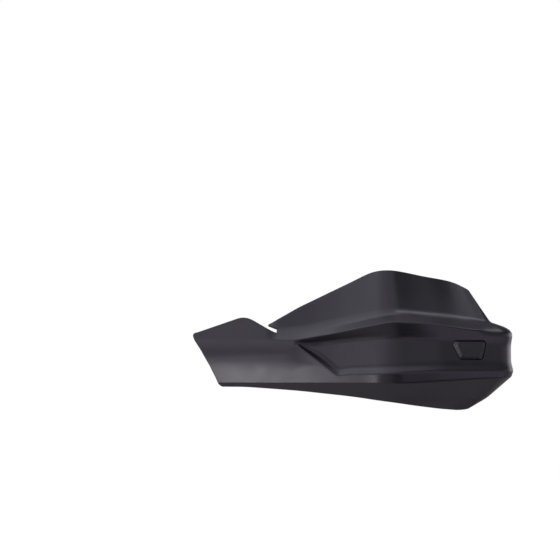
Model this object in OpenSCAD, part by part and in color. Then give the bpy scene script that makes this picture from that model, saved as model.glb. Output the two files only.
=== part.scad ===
// Wrap-around hand guard for the left end of a motorcycle handlebar, in millimetres.
// The origin is the centre of the handlebar's open end. X points outboard along the grip,
// Y points back to the rider and Z points up, so the guard's front face looks along -Y.

/* [Guard in plan] */
// How far the guard's outer face stands past the end of the handlebar
reach_x = 41.2; // [37:0.1:44]
// Distance from the end of the handlebar in to the bend of the guard
bend_x = 75; // [65:1:85]
// Distance from the handlebar's axis forward to the bend of the guard
bend_y = 104; // [98:1:112]
// Angle by which the inner half falls back from the bend, in degrees
inner_sweep = 14; // [10:0.5:18]
// Angle by which the outer half falls back from the bend, in degrees
outer_sweep = 23; // [20:0.5:26]
// Radius of the bend in plan
bend_r = 45; // [35:1:60]
// Radius of the corner where the guard wraps round the end of the handlebar
wrap_r = 20; // [16:0.5:26]
// Distance from the handlebar's axis forward to the guard's rear outer edge
end_y = 12; // [8:1:16]
// Distance along X from the bend in to the tip of the tail
tail_len = 186; // [180:1:192]

/* [Guard section] */
// Wall thickness of the moulding
wall = 3; // [2.4:0.1:3.6]
// Height of the wing's highest point above the handlebar's axis
wing_top = 75.4; // [70:0.2:80]
// Height of the tail's peak above the handlebar's axis
tail_top = 32.2; // [28:0.2:34]
// Depth of the lowest point below the handlebar's axis
chin_low = 57.3; // [52:0.1:60]
// Height of the ledge's front edge at the bend
ledge_high = 26.4; // [25:0.1:28]
// Depth from the ledge's front edge back to the foot of the wing, at the bend
ledge_deep = 19; // [16:0.5:22]
// Depth of the crease under the lower ridge
crease_low = 31; // [30.5:0.1:32]
// Slope of the face under the lower ridge, in degrees
ridge_slope = 18; // [14:1:22]
// Slope of the chin's upper facet, in degrees
chin_slope = 50; // [46:1:54]
// Slope of the chin's lower facet, in degrees
keel_slope = 61; // [58:1:66]
// Height of the open end of the slit between the tail and the wing's tip
slit_gap = 2.3; // [1.8:0.1:3]

/* [Handlebar] */
// Outside diameter of the handlebar
bar_d = 22.2; // [22:0.1:22.4]
// Bore diameter of the handlebar's open end
bore_d = 18; // [17:0.1:18.6]
// Distance from the end of the handlebar in to the clamp's inner face
clamp_in = 179; // [176:0.5:182]
// Width of the clamp along the handlebar
clamp_w = 20; // [18:0.5:22]

/* [Backbone] */
// Height of the flat bar that carries the guard
strip_h = 18; // [16:0.5:20]
// Thickness of the flat bar
strip_t = 5; // [4:0.5:6]
// Depth of the bar's middle behind the guard's face line, in the inner half
strip_in = 21; // [20.5:0.25:23]
// Depth of the bar's middle behind the guard's face line, in the outer half
strip_out = 17.5; // [17:0.25:19]
// Distance the bar stands off the end of the handlebar
standoff = 14; // [12:0.5:16]
// Diameter of the bolts that carry the backbone
bolt_d = 8; // [7:0.5:8]

/* [Plug] */
// Distance along the outer half from the bend to the middle of the plug
plug_x = 81.3; // [79:0.5:83]
// Height of the plug
plug_h = 17.6; // [16:0.2:18.4]
// Distance by which the plug's face stands proud of the channel's floor
plug_proud = 3.6; // [2.6:0.1:4]

/* [Hidden] */
$fn = 64;
plastic = [0.13, 0.13, 0.15];
alloy = [0.16, 0.16, 0.17];
steel = [0.72, 0.72, 0.74];
brass = [0.8, 0.62, 0.3];
soft_rubber = [0.08, 0.08, 0.08];

function along(a) = [cos(a), sin(a)];
function ahead(a) = [sin(a), -cos(a)];
function arc_len(r, a) = r * a * PI / 180;
function mix(a, b, m) = a + (b - a) * m;

bend_point = [-bend_x, -bend_y];
bend_angle = inner_sweep + outer_sweep;
bend_cut = bend_r * tan(bend_angle / 2);
bend_half = arc_len(bend_r, bend_angle) / 2;
bend_start = bend_point - bend_cut * along(-inner_sweep);
bend_end = bend_point + bend_cut * along(outer_sweep);
bend_mid = bend_start - bend_r * ahead(-inner_sweep);
wrap_angle = 90 - outer_sweep;
wrap_cut = wrap_r * tan(wrap_angle / 2);
wrap_point = bend_point + (reach_x + bend_x) / cos(outer_sweep) * along(outer_sweep);
wrap_start = wrap_point - wrap_cut * along(outer_sweep);
wrap_end = wrap_point + [0, wrap_cut];
wrap_mid = wrap_start - wrap_r * ahead(outer_sweep);
wrap_s = bend_half + norm(wrap_start - bend_end);
wrap_e = wrap_s + arc_len(wrap_r, wrap_angle);
end_s = wrap_e - end_y - wrap_end[1];

// The guard's plan is one line of two straights, a bend, a tight wrap and a short leg.
// A station s is the distance along that line, outboard of the middle of the bend.
function heading(s) = s < -bend_half ? -inner_sweep
    : s < bend_half ? -inner_sweep + (s + bend_half) / (2 * bend_half) * bend_angle
    : s < wrap_s ? outer_sweep
    : s < wrap_e ? outer_sweep + (s - wrap_s) / (wrap_e - wrap_s) * wrap_angle
    : 90;
function plan(s) = s < -bend_half ? bend_start + (s + bend_half) * along(-inner_sweep)
    : s < bend_half ? bend_mid + bend_r * ahead(heading(s))
    : s < wrap_s ? bend_end + (s - bend_half) * along(outer_sweep)
    : s < wrap_e ? wrap_mid + wrap_r * ahead(heading(s))
    : wrap_end + [0, s - wrap_e];

// A line of the form is a table of [station, value]. It is read straight between its
// points, and soft() rounds its corners over a stretch of w to either side.
function lin(t, s, i = 0) = s <= t[0][0] ? t[0][1]
    : i >= len(t) - 1 ? t[i][1]
    : s <= t[i + 1][0] ? mix(t[i][1], t[i + 1][1], (s - t[i][0]) / (t[i + 1][0] - t[i][0]))
    : lin(t, s, i + 1);
function total(v, i = 0) = i >= len(v) ? 0 : v[i] + total(v, i + 1);
function soft(t, s, w) = total([for (k = [-3:3]) lin(t, s + w * k / 3.5)]) / 7;

tail_s = -tail_len / cos(inner_sweep);
slant_end = -130;
slit_s = -110;
tip_s = -118.5;
apex_s = -89.4;
lip_s = -51.5;
tail_foot = -34.9;

// Direction in which each section looks, turning slowly so that deep points stay apart
facing = [[-40, -inner_sweep], [35, outer_sweep], [70, 27], [100, 44], [wrap_e, 80], [wrap_e + 14, 90]];
top_z = [[tip_s, 24.3], [-91, 40.6], [-68, 52.2], [-48, wing_top - 13.1], [-30, wing_top - 5], [-22, wing_top - 2.5],
    [-11, wing_top - 0.5],
    [1, wing_top], [11, wing_top - 0.3], [32, wing_top - 2.6], [57, wing_top - 6.9], [77, wing_top - 9.2],
    [92, wing_top - 10.9], [104, wing_top - 13.5], [112, wing_top - 14.4], [120, wing_top - 15.9],
    [wrap_e, wing_top - 20.1], [end_s, 37.5]];
tail_z = [[tail_s, 15.1], [tail_s + 51, tail_top], [slit_s, 15.4]];
// Distance by which the tail's end falls back from its tip, against height
tail_end = [[tail_foot, 24.6], [-28, 22.3], [-14, 16.1], [0, 8.5], [9.4, 2.3], [15.1, -0.5]];
tail_d = [[tail_s, 0.4], [tail_s + 51, 1.9], [tip_s, 1], [slit_s, 3.5]];
root_z = [[slit_s, 18.6], [-98, 18], [-80, 19.8], [-52, 25.4], [-30, 29.9], [0, 34.6],
    [18, 34.8], [41, 32.5], [64, 30.6], [81, 28.9], [100, 28.3], [wrap_e, 27.2], [end_s, 26.7]];
root_d = [[slit_s, 4.5], [apex_s, 7], [-52, 13], [0, ledge_deep],
    [50, ledge_deep + 1], [wrap_e, ledge_deep + 3.5], [end_s, ledge_deep + 3.5]];
wing_lean = [[slit_s, 15], [-52, 20], [0, 22], [61, 26], [wrap_s, 35.5], [end_s, 36.5]];
ledge_z = [[tail_s, 10], [slit_s, 9.8], [apex_s, 9.6], [-73, 12.7], [-58, 15], [-29, 20.9], [0, ledge_high],
    [20, ledge_high - 0.2], [31, ledge_high - 0.9], [48, 24], [64, 21.8], [81, 19.7], [104, 17.7], [end_s, 16.4]];
floor_hi = [[tail_s, 5], [-100, 6.2], [apex_s, 7.9], [-78, 5.6], [-68, 7], [-52, 8.8], [-30, 11], [0, 12.2],
    [10, 11.8], [51, 9], [92, 6.6], [wrap_e, 4.4], [end_s, 4.4]];
floor_hi_d = [[tail_s, 0], [-91, 0], [-88, 2.6], [-84, 4.6], [-78, 6], [-68, 7.6], [-39, 9.3],
    [-10, 10.5], [20, 7], [50, 3.4], [wrap_e, 2.4], [end_s, 2.4]];
floor_lo = [[tail_s, 0], [-100, 2.4], [apex_s, 6.3], [-84, 2.2], [-78, -0.4], [-68, -5.5], [-58.4, -12.6],
    [lip_s, -18], [-39, -16.5], [0, -15.5], [51, -12.5], [wrap_e, -11.5], [end_s, -11.5]];
floor_lo_d = [[tail_s, 0], [-91, 0], [-88, 2.6], [-84, 4.4], [-78, 5.8], [-68, 7.3], [-58.4, 8.3],
    [-20, 8.5], [20, 5], [50, 2.6], [wrap_e, 2.2], [end_s, 2.2]];
lip_z = [[tail_s, -6], [-100, -2.4], [apex_s, 4.7], [lip_s, -24], [-39, -22.6], [-10, -22.1], [10, -21.2],
    [25, -20.2], [51, -19.7], [wrap_s, -19.7], [end_s, -19.2]];
outer_share = [[-20, 0], [50, 1]];
crease_z = [[22, -crease_low], [51, 1.4 - crease_low],
    [92, 3.7 - crease_low], [wrap_e, 6 - crease_low], [end_s, 7 - crease_low]];
bottom_z = [[tail_s, tail_foot], [-155, -35], [-130, -35.8], [-91, -38.7], [-44, -43.8], [-13, -47.5],
    [12, -50], [70, 1.6 - chin_low], [108, -chin_low], [wrap_e, 2.8 - chin_low], [end_s, 9 - chin_low]];
keel_z = [[tail_s, 1.2], [12, 2.5], [70, 8.3], [101, 11.8], [wrap_e, 9.5], [end_s, 8]];
roll_z = -6.6;
roll_d = -0.2;
roll_w = 8;

// The lesser of two values, with the corner where they cross rounded off
function lesser(a, b, w) = (a + b - sqrt((a - b) * (a - b) + w * w)) / 2;
// Forward standing of the plain inner half: it leans back above, rolls over softly and tucks under
function base_d(z) = let (u = z - roll_z, r = sqrt(u * u + roll_w * roll_w) - roll_w)
    roll_d - ((r + u) * tan(5) + (r - u) * tan(ridge_slope)) / 2;

// Corners of the outer face at station s, as [forward, height], from the bottom edge to the foot of the wing
function low_corners(s) = let (
        z6 = soft(ledge_z, s, 7),
        z3 = soft(lip_z, s, 2),
        z2 = soft(crease_z, s, 8),
        z0 = soft(bottom_z, s, 9),
        z1 = min(z0 + soft(keel_z, s, 8), z2 - 1),
        zr = lesser(-14, z3 - 3, 3),
        n = lin([[-96, 0], [-80, 1]], s),
        m = soft(outer_share, s, 8),
        d3 = mix(base_d(z3), 0, m),
        dr = mix(base_d(zr), -tan(ridge_slope) * (z3 - zr), m),
        d2 = mix(base_d(z2), -tan(ridge_slope) * (z3 - z2), m),
        d1 = d2 - tan(chin_slope) * (z2 - z1)
    ) [
        [d1 - tan(mix(chin_slope, keel_slope, m)) * (z1 - z0), z0],
        [d1, z1],
        [d2, z2],
        [dr, zr],
        [d3, z3],
        let (z = soft(floor_lo, s, 2.5)) [mix(base_d(z), 0, n) - soft(floor_lo_d, s, 2.5), z],
        let (z = soft(floor_hi, s, 3)) [mix(base_d(z), 0, n) - soft(floor_hi_d, s, 3), z],
        [mix(base_d(z6), 0, n), z6]
    ];
function tail_corners(s) = concat(low_corners(s), [[-soft(tail_d, s, 2), tail_edge(s)]]);
function wing_top_corner(s, z7, d7) = let (z8 = soft(top_z, s, s > -60 ? 9 : 3))
    [d7 - tan(soft(wing_lean, s, 5)) * (z8 - z7), z8];
function wing_corners(s) = let (z7 = soft(root_z, s, 8), d7 = -soft(root_d, s, 5))
    concat(low_corners(s), [[d7, z7], wing_top_corner(s, z7, d7)]);
// Height of the tail's top edge: a peak, and a rounded corner at the tip
function tail_edge(s) = soft(tail_z, s, 7) - rounding(s - tail_s, 3);
function rounding(t, c) = let (u = c - max(0, min(c, t))) c - sqrt(c * c - u * u);

// Length by which each corner of the section is rounded off, and the number of steps that round it
function blends(s) = let (m = soft(outer_share, s, 8), n = lin([[-96, 0], [-78, 1]], s))
    [0, 4, mix(0.8, 2, m), mix(8, 1, n), mix(lin([[-104, 3], [-94, 1]], s), 2.2, m), 4.5, 3, lin(edge_blend, s), 6, 0];
edge_blend = [[-20, 1], [50, 1.1], [95, 1.8], [wrap_s, 8]];
steps = [0, 1, 2, 2, 1, 3, 2, 2, 4, 0];

function unit(v) = v / norm(v);
function face_of(a, b) = let (u = unit(b - a)) [u[1], -u[0]];
function inset(p) = [for (i = [0:len(p) - 1]) let (
        n1 = face_of(p[max(i - 1, 0)], p[max(i, 1)]),
        n2 = face_of(p[min(i, len(p) - 2)], p[min(i + 1, len(p) - 1)])
    ) p[i] - wall * (n1 + n2) / (1 + n1 * n2)];
function turn(p, i) = let (a = unit(p[i] - p[i - 1]), b = unit(p[i + 1] - p[i])) a[0] * b[1] - a[1] * b[0];
function half_tan(p, i) = let (a = unit(p[i] - p[i - 1]), b = unit(p[i + 1] - p[i]))
    sqrt(max(0, 1 - a * b) / (1 + a * b));
function inner_blends(p, t) = [for (i = [0:len(p) - 1]) i == 0 || i == len(p) - 1 ? 0
    : max(0.3, t[i] - sign(turn(p, i)) * wall * half_tan(p, i))];
function corner_points(p, t, i) = let (
        q = min(t[i], 0.45 * norm(p[i] - p[i - 1]), 0.45 * norm(p[i + 1] - p[i])),
        a = p[i] - q * unit(p[i] - p[i - 1]),
        b = p[i] + q * unit(p[i + 1] - p[i])
    ) [for (k = [0:steps[i]]) let (f = k / steps[i]) (1 - f) * (1 - f) * a + 2 * f * (1 - f) * p[i] + f * f * b];
foot = 8;
function low_points(p, t) = [
    p[0],
    mix(p[0], p[1], 0.5),
    for (i = [1:foot - 1]) each corner_points(p, t, i),
    len(p) > foot + 1 ? corner_points(p, t, foot)[0] : p[foot]
];
function wing_points(p, t) = [
    for (k = [1:steps[foot]]) corner_points(p, t, foot)[k],
    mix(p[foot], p[foot + 1], 0.4),
    mix(p[foot], p[foot + 1], 0.7),
    p[foot + 1]
];

// The tail's end is slanted, so near it the sections are sheared to follow the end
function sheared(s, z) = s > slant_end ? s : let (
        start = tail_s + lin(tail_end, z) + rounding(z - tail_foot, 2.6)
    ) mix(start, slant_end, (s - tail_s) / (slant_end - tail_s));
function place(s, q) = let (u = sheared(s, q[1]), c = plan(u), f = ahead(soft(facing, u, 12)))
    [c[0] + q[0] * f[0], c[1] + q[0] * f[1], q[1]];
function section(s, inner) = let (
        p = s < slit_s ? tail_corners(s) : wing_corners(s),
        t = blends(s),
        q = inner ? inset(p) : p,
        b = inner ? inner_blends(p, t) : t
    ) [for (v = concat(low_points(q, b), s < slit_s ? [] : wing_points(q, b))) place(s, v)];

// The wing's tip reaches inboard over the slit as a small flap on the wing's own plane
flap_row = 3;
flap_rows = steps[foot] + 4 - flap_row;
function flap(s, inner) = let (
        p = wing_corners(slit_s),
        start = corner_points(p, blends(slit_s), foot)[flap_row],
        top = wing_top_corner(s, p[foot][1], p[foot][0]),
        reach = (s - tip_s) / (slit_s - tip_s),
        low = mix([start[0], min(tail_edge(tip_s) + slit_gap, top[1] - 1.2)], start, reach),
        back = inner ? wall * [-cos(15), -sin(15)] : [0, 0]
    ) [for (k = [0:flap_rows - 1]) place(s, mix(low, top, k / (flap_rows - 1)) + back)];

tail_stations = concat(
    [for (t = [0, 0.5, 1.5, 3]) tail_s + t],
    [for (i = [1:6]) mix(tail_s + 3, slant_end, i / 6)],
    [for (i = [1:5]) mix(slant_end, slit_s, i / 5.6)]
);
flap_stations = [for (i = [0:3]) mix(tip_s, slit_s, i / 4)];
wing_stations = concat(
    [for (i = [0:4]) mix(slit_s, apex_s - 2, i / 5)],
    [for (i = [0:11]) mix(apex_s - 2, lip_s + 4, i / 11)],
    [for (i = [1:3]) mix(lip_s + 4, -22, i / 3)],
    [for (i = [1:9]) mix(-22, 30, i / 9)],
    [for (i = [1:6]) mix(30, wrap_s - 4, i / 6)],
    [for (i = [0:6]) mix(wrap_s, wrap_e, i / 6)],
    [for (i = [1:2]) mix(wrap_e, end_s, i / 2)]
);

// The moulding as one closed sheet: the outer face, the inner face a wall behind it, and its edges
module moulding() {
    columns = concat(tail_stations, wing_stations);
    nt = len(tail_stations);
    nc = len(columns);
    nf = len(flap_stations);
    low = 2 + total([for (i = [1:foot - 1]) steps[i] + 1]) + 1;
    high = low + steps[foot] + 3;
    flap_low = low - 1 + flap_row;
    outer = [for (s = columns) section(s, false)];
    inner = [for (s = columns) section(s, true)];
    flap_out = [for (s = flap_stations) flap(s, false)];
    flap_in = [for (s = flap_stations) flap(s, true)];
    side = nt * low + (nc - nt) * high + nf * flap_rows;
    points = [for (c = outer) each c, for (c = flap_out) each c, for (c = inner) each c, for (c = flap_in) each c];
    function at(c, r, k) = k * side + (c < nt ? c * low : nt * low + (c - nt) * high) + r;
    // A point of the flap, whose last column is the wing's own first one
    function tip(c, r, k) = c == nf ? at(nt, flap_low + r, k) : k * side + nt * low + (nc - nt) * high + c * flap_rows + r;
    function cell(a, b, c, d, k) = k == 0 ? [[a, b, c], [a, c, d]] : [[a, c, b], [a, d, c]];
    function edge(a, b, ia, ib) = [[a, b, ib], [a, ib, ia]];
    faces = [
        for (k = [0, 1]) each [
            for (c = [0:nc - 2]) for (r = [0:(c < nt ? low : high) - 2])
                each cell(at(c, r, k), at(c, r + 1, k), at(c + 1, r + 1, k), at(c + 1, r, k), k),
            for (c = [0:nf - 1]) for (r = [0:flap_rows - 2])
                each cell(tip(c, r, k), tip(c, r + 1, k), tip(c + 1, r + 1, k), tip(c + 1, r, k), k)
        ],
        for (c = [0:nc - 2]) each edge(at(c, 0, 0), at(c + 1, 0, 0), at(c, 0, 1), at(c + 1, 0, 1)),
        for (r = [0:high - 2]) each edge(at(nc - 1, r, 0), at(nc - 1, r + 1, 0), at(nc - 1, r, 1), at(nc - 1, r + 1, 1)),
        for (c = [nt:nc - 2])
            each edge(at(c + 1, high - 1, 0), at(c, high - 1, 0), at(c + 1, high - 1, 1), at(c, high - 1, 1)),
        for (c = [0:nf - 1]) let (e = flap_rows - 1)
            each edge(tip(c + 1, e, 0), tip(c, e, 0), tip(c + 1, e, 1), tip(c, e, 1)),
        for (r = [0:flap_rows - 2]) each edge(tip(0, r + 1, 0), tip(0, r, 0), tip(0, r + 1, 1), tip(0, r, 1)),
        for (c = [0:nf - 1]) each edge(tip(c, 0, 0), tip(c + 1, 0, 0), tip(c, 0, 1), tip(c + 1, 0, 1)),
        for (c = [0:nt - 1])
            each edge(at(c + 1, low - 1, 0), at(c, low - 1, 0), at(c + 1, low - 1, 1), at(c, low - 1, 1)),
        for (r = [low - 1:flap_low - 1])
            each edge(at(nt, r + 1, 0), at(nt, r, 0), at(nt, r + 1, 1), at(nt, r, 1)),
        for (r = [0:low - 2]) each edge(at(0, r + 1, 0), at(0, r, 0), at(0, r + 1, 1), at(0, r, 1))
    ];
    echo(columns = nc, low = low, high = high, triangles = len(faces));
    polyhedron(points, faces, convexity = 10);
}

// Depth of the outer face behind the face line at station s and height z
function face_depth(s, z) = let (p = low_corners(s)) -lin([for (v = p) [v[1], v[0]]], z);

// The two straight halves as frames: x outboard from the bend, y back from the face line
module half(angle) {
    translate([bend_point[0], bend_point[1], 0]) rotate([0, 0, angle]) children();
}
module back_at(angle, x, y, z) {
    half(angle) translate([x, y, z]) rotate([-90, 0, 0]) children();
}

// Each fixing of the shell: angle of its half, distance from the bend, height, depth of the bar there
fixings = [
    [-inner_sweep, -94, -3, strip_in],
    [-inner_sweep, -44, -3, strip_in],
    [outer_sweep, 34, -1, strip_out]
];
pad_t = 2;
insert_l = 6;
insert_r = 3.5;
boss_r = 5.5;
screw_r = 2.5;
skin = wall / 2;
function boss_top(f) = f[3] - strip_t / 2 - pad_t;
function boss_foot(f) = face_depth(f[1], f[2]) + skin;

// The plug's outline, seen from the front and centred on the plug
seat_y = strip_out - strip_t / 2 - 3;
plug_y = face_depth(plug_x, 0);
module plug_shape(grow) {
    h = plug_h / 2;
    offset(r = 2.2 + grow, $fn = 24) offset(delta = -2.2)
        polygon([[-18.4, h], [18.2, h], [14, -h], [-8.6, -h]]);
}
module plug_face() {
    h = plug_h / 2;
    offset(r = 1.2, $fn = 24) offset(delta = -1.2)
        polygon([[-13.1, h - 1.3], [14.6, h - 1.3], [11, 3.2 - h], [-5.9, 3.2 - h]]);
}
module at_plug(y) {
    half(outer_sweep) translate([plug_x, y, 0]) rotate([90, 0, 0]) children();
}

module guard_shell() {
    color(plastic) difference() {
        union() {
            moulding();
            union() {
                at_plug(seat_y + 3) linear_extrude(seat_y + 3 - plug_y - skin) plug_shape(3);
                for (f = fixings) {
                    back_at(f[0], f[1], boss_foot(f), f[2]) cylinder(h = boss_top(f) - boss_foot(f), r = boss_r);
                    half(f[0]) translate([f[1] - 1, boss_foot(f), f[2] - 10])
                        cube([2, boss_top(f) - boss_foot(f) - 2, 18]);
                }
            }
        }
        union() {
            at_plug(seat_y) linear_extrude(seat_y + 12) plug_shape(0.5);
            back_at(outer_sweep, plug_x + 1.3, seat_y - 1, 0) cylinder(h = 6, r = 3.3);
            for (f = fixings)
                back_at(f[0], f[1], boss_top(f) - insert_l, f[2]) cylinder(h = insert_l + 2, r = insert_r + 0.05);
        }
    }
}

// Trapezoid plug with bevelled edges, snapped into the window over the screw behind it
module window_plug() {
    color(plastic) union() {
        hull() {
            at_plug(plug_y + 1.4) linear_extrude(1.6) plug_shape(0);
            at_plug(plug_y - plug_proud + 0.1) linear_extrude(0.1) plug_face();
        }
        at_plug(plug_y + 5.5) linear_extrude(4.4) difference() {
            plug_shape(0.35);
            plug_shape(-1.2);
        }
    }
}
module plug_screw() {
    color(steel) back_at(outer_sweep, plug_x + 1.3, seat_y - 1.2, 0) difference() {
        union() {
            translate([0, 0, -2.6]) cylinder(h = 2.6, r1 = 3.6, r2 = 5);
            cylinder(h = 1.2 + 3 + strip_t + 1.5, r = 3);
        }
        translate([0, 0, -3]) cylinder(h = 2, r = 2.31, $fn = 6);
    }
}
module plug_screw_washer() {
    color(steel) back_at(outer_sweep, plug_x + 1.3, seat_y - 1.2, 0) tube(1.2, 6.2, 3.1);
}
module tube(h, r, bore) {
    difference() {
        cylinder(h = h, r = r);
        translate([0, 0, -1]) cylinder(h = h + 2, r = bore);
    }
}

// The shell's three fixings: brass thread in the boss, rubber pad, and a screw from behind the bar
module thread_inserts() {
    color(brass) for (f = fixings)
        back_at(f[0], f[1], boss_top(f) - insert_l, f[2]) tube(insert_l, insert_r, screw_r + 0.05);
}
module rubber_pads() {
    color(soft_rubber) for (f = fixings)
        back_at(f[0], f[1], boss_top(f), f[2]) tube(pad_t, 7, screw_r + 0.3);
}
module shell_screw_washers() {
    color(steel) for (f = fixings)
        back_at(f[0], f[1], f[3] + strip_t / 2, f[2]) tube(1, 5.2, screw_r + 0.15);
}
module shell_screws() {
    color(steel) for (f = fixings) back_at(f[0], f[1], f[3] + strip_t / 2 + 1, f[2]) difference() {
        union() {
            cylinder(h = 2.8, r1 = 4.7, r2 = 3.2);
            translate([0, 0, -1 - strip_t - pad_t - insert_l + 0.5])
                cylinder(h = 1 + strip_t + pad_t + insert_l, r = screw_r);
        }
        translate([0, 0, 1]) cylinder(h = 3, r = 1.73, $fn = 6);
    }
}

// The backbone's line in plan: the clamp's bolt, three bends, and the bolt in the handlebar's end
link_x = -clamp_in + 0.5;
link_y = -28;
strip_x = standoff + strip_t / 2;
function back_line(a, depth) = bend_point - depth * ahead(a);
function meet(p, a, q, b) = p + a * ((q[0] - p[0]) * b[1] - (q[1] - p[1]) * b[0]) / (a[0] * b[1] - a[1] * b[0]);
strip_line = [
    [link_x, link_y],
    meet(back_line(-inner_sweep, strip_in), along(-inner_sweep), [link_x, 0], [0, 1]),
    meet(back_line(-inner_sweep, strip_in), along(-inner_sweep), back_line(outer_sweep, strip_out), along(outer_sweep)),
    meet(back_line(outer_sweep, strip_out), along(outer_sweep), [strip_x, 0], [0, 1]),
    [strip_x, 0]
];
strip_bends = [0, 12, 36, 14, 0];
function left(v) = [-v[1], v[0]];
function spun(v, a) = [v[0] * cos(a) - v[1] * sin(a), v[0] * sin(a) + v[1] * cos(a)];
function bent(p, i, r, o) = let (
        a = unit(p[i] - p[i - 1]),
        b = unit(p[i + 1] - p[i]),
        sweep = acos(a * b),
        way = sign(a[0] * b[1] - a[1] * b[0]),
        start = p[i] - r * tan(sweep / 2) * a,
        mid = start + way * r * left(a)
    ) [for (k = [0:8]) mid + spun(start + o * left(a) - mid, way * sweep * k / 8)];
function strip_side(p, o) = let (n = len(p) - 1) [
    p[0] + o * left(unit(p[1] - p[0])),
    for (i = [1:n - 1]) each bent(p, i, strip_bends[i], o),
    p[n] + o * left(unit(p[n] - p[n - 1]))
];
module along_bar(x, y = 0, z = 0) {
    translate([x, y, z]) rotate([0, 90, 0]) children();
}
module backbone() {
    color(alloy) difference() {
        union() {
            translate([0, 0, -strip_h / 2]) linear_extrude(strip_h)
                polygon([each strip_side(strip_line, strip_t / 2), for (i = [28:-1:0]) strip_side(strip_line, -strip_t / 2)[i]]);
            along_bar(link_x - strip_t / 2, link_y) cylinder(h = strip_t, r = strip_h / 2);
            along_bar(standoff) cylinder(h = strip_t, r = strip_h / 2);
        }
        along_bar(link_x - strip_t, link_y) cylinder(h = 2 * strip_t, r = bolt_d / 2 + 0.15);
        along_bar(standoff - 1) cylinder(h = strip_t + 2, r = bolt_d / 2 + 0.15);
        for (f = fixings) back_at(f[0], f[1], f[3] - strip_t, f[2]) cylinder(h = 2 * strip_t, r = screw_r + 0.25);
        back_at(outer_sweep, plug_x + 1.3, strip_out - strip_t, 0) cylinder(h = 2 * strip_t, r = 3.05);
    }
}

// Outer end: a spacer between handlebar and backbone, and an expander drawn up inside the bore
module bar_end_spacer() {
    color(alloy) along_bar(0) difference() {
        cylinder(h = standoff, r1 = bar_d / 2 + 1.9, r2 = 9);
        translate([0, 0, -1]) cylinder(h = standoff + 2, r = bolt_d / 2 + 0.15);
    }
}
module bar_end_washer() {
    color(steel) along_bar(standoff + strip_t) tube(1.6, 8, bolt_d / 2 + 0.15);
}
module bar_end_bolt() {
    color(steel) along_bar(standoff + strip_t + 1.6) difference() {
        union() {
            cylinder(h = bolt_d - 0.7, r = 6.4);
            translate([0, 0, 0.3 - standoff - strip_t - 1.6 - 42])
                cylinder(h = 42 + standoff + strip_t + 1.6, r = bolt_d / 2);
            translate([0, 0, bolt_d - 0.7]) cylinder(h = 0.7, r1 = 6.4, r2 = 5.7);
        }
        translate([0, 0, 3]) cylinder(h = 8, r = 3.46, $fn = 6);
    }
}
sleeve_r = bore_d / 2 - 0.1;
module expander_sleeve() {
    color(steel) along_bar(-30) difference() {
        cylinder(h = 30, r = sleeve_r);
        translate([0, 0, -1]) cylinder(h = 32, r = bolt_d / 2 + 0.3);
        translate([0, 0, -0.01]) cylinder(h = 12, r1 = 7.6, r2 = bolt_d / 2 + 0.3);
        for (a = [27, 117]) rotate([0, 0, a]) translate([-0.75, -12, -1]) cube([1.5, 24, 14.8]);
    }
}
module expander_cone() {
    color(steel) along_bar(-42) difference() {
        union() {
            cylinder(h = 10, r = 7.8);
            translate([0, 0, 10]) cylinder(h = 11, r1 = 7.8, r2 = 4.75);
        }
        translate([0, 0, -1]) cylinder(h = 24, r = bolt_d / 2 + 0.05);
    }
}

// Inner end: a split clamp round the handlebar, with a lug that the backbone is bolted to
clamp_r = bar_d / 2 + 6;
ear_z = bar_d / 2 + 6.4;
lug_t = 6;
module half_clamp(way) {
    intersection() {
        union() {
            along_bar(-clamp_in) cylinder(h = clamp_w, r = clamp_r);
            translate([-clamp_in, -8, -ear_z - 5]) cube([clamp_w, 16, 2 * ear_z + 10]);
        }
        translate([-clamp_in - 1, way > 0 ? 0.75 : -25.75, -40]) cube([clamp_w + 2, 25, 80]);
    }
}
module clamp_bores(r_near, r_far) {
    along_bar(-clamp_in - 5) cylinder(h = clamp_w + 10, r = bar_d / 2);
    for (z = [-ear_z, ear_z]) translate([clamp_w / 2 - clamp_in, 0, z]) rotate([-90, 0, 0]) {
        translate([0, 0, -20]) cylinder(h = 20, r = r_near);
        cylinder(h = 20, r = r_far);
    }
}
module bar_clamp_saddle() {
    color(alloy) difference() {
        union() {
            half_clamp(-1);
            along_bar(link_x + strip_t / 2 + 3, link_y) cylinder(h = lug_t, r = strip_h / 2);
            translate([link_x + strip_t / 2 + 3, link_y, -strip_h / 2]) cube([lug_t, 28 - bar_d / 2 - 2, strip_h]);
        }
        clamp_bores(3.05, 3.05);
        along_bar(link_x, link_y) cylinder(h = 20, r = bolt_d / 2 + 0.15);
    }
}
module bar_clamp_cap() {
    color(alloy) difference() {
        half_clamp(1);
        clamp_bores(3.3, 3.3);
        for (z = [-ear_z, ear_z]) translate([clamp_w / 2 - clamp_in, 8, z]) rotate([-90, 0, 0]) cylinder(h = 20, r = 5.4);
    }
}
module clamp_screws() {
    color(steel) for (z = [-ear_z, ear_z])
        translate([clamp_w / 2 - clamp_in, 8, z]) rotate([-90, 0, 0]) difference() {
            union() {
                cylinder(h = 6, r = 5);
                translate([0, 0, -15.5]) cylinder(h = 16, r = 3);
            }
            translate([0, 0, 3]) cylinder(h = 6, r = 2.89, $fn = 6);
        }
}
module link_spacer() {
    color(alloy) along_bar(link_x + strip_t / 2, link_y) tube(3, 8, bolt_d / 2 + 0.15);
}
module link_bolt() {
    color(steel) along_bar(link_x - strip_t / 2, link_y) union() {
        translate([0, 0, -5.3]) cylinder(h = 5.3, r = 7.5, $fn = 6);
        cylinder(h = strip_t + 3 + lug_t + 1.6 + 8, r = bolt_d / 2);
    }
}
module link_washer() {
    color(steel) along_bar(link_x + strip_t / 2 + 3 + lug_t, link_y) tube(1.6, 8, bolt_d / 2 + 0.15);
}
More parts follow.
